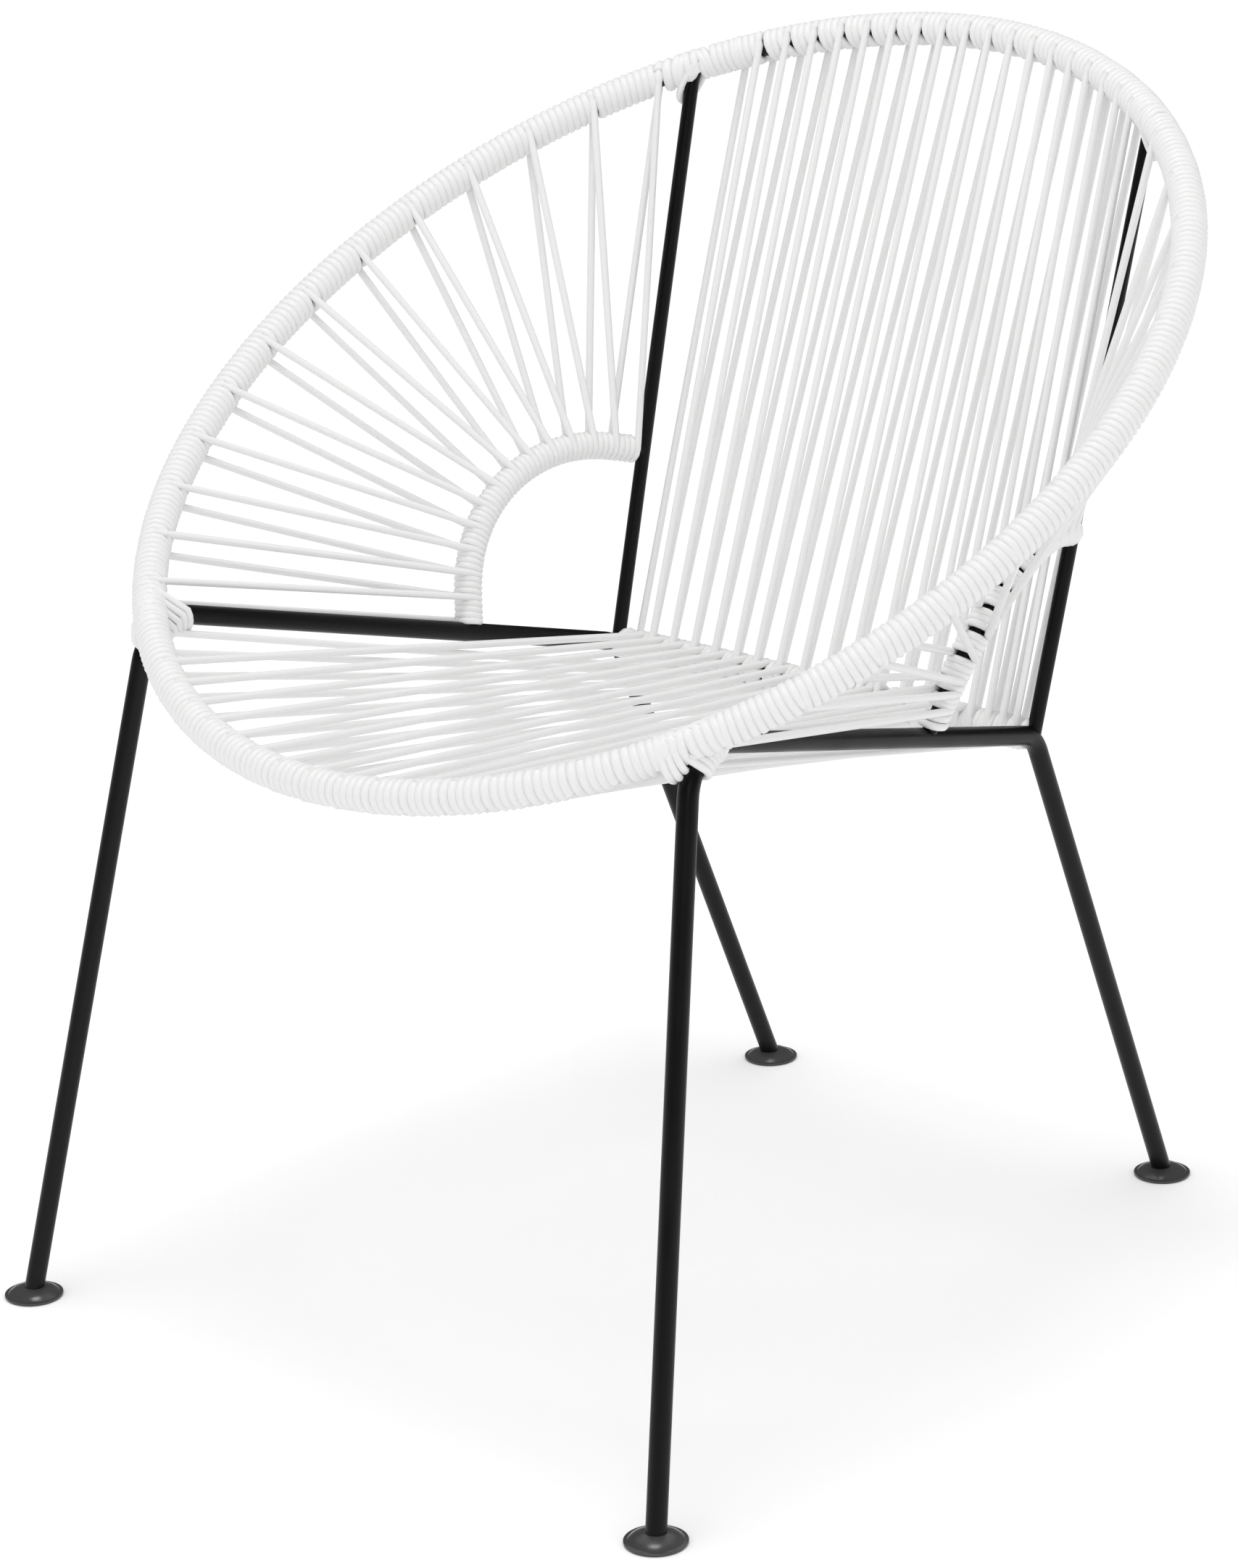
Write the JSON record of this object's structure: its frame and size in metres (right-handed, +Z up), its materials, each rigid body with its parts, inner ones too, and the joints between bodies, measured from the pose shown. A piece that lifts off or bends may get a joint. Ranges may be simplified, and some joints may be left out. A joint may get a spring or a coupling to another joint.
{
  "type": "acapulco chair",
  "caption": "Low armless patio chair: a tilted cord-wound steel hoop on bent side frames, strung with cord strands for seat, back and sides.",
  "frame": {"origin": "on the floor, under the middle of the chair's outline", "axes": "+Z up, the sitter faces -Y, the sitter's left is +X"},
  "size_m": [0.6954, 0.6649, 0.7699],
  "materials": {
    "frame": "satin black powder coat",
    "disc": "glossy black powder coat",
    "cord": "smooth white vinyl cord"
  },
  "bodies": {
    "root": {"rim_hoop": "frame", "rear_cross_rail": "frame", "left_side_frame": "frame", "left_back_post": "frame", "left_arm_arc": "frame", "right_side_frame": "frame", "right_back_post": "frame", "right_arm_arc": "frame", "front_left_foot_disc": "disc", "rear_left_foot_disc": "disc", "front_right_foot_disc": "disc", "rear_right_foot_disc": "disc", "left_side_cord": "cord", "right_side_cord": "cord", "back_cord": "cord", "seat_cord": "cord"}
  },
  "joints": []
}
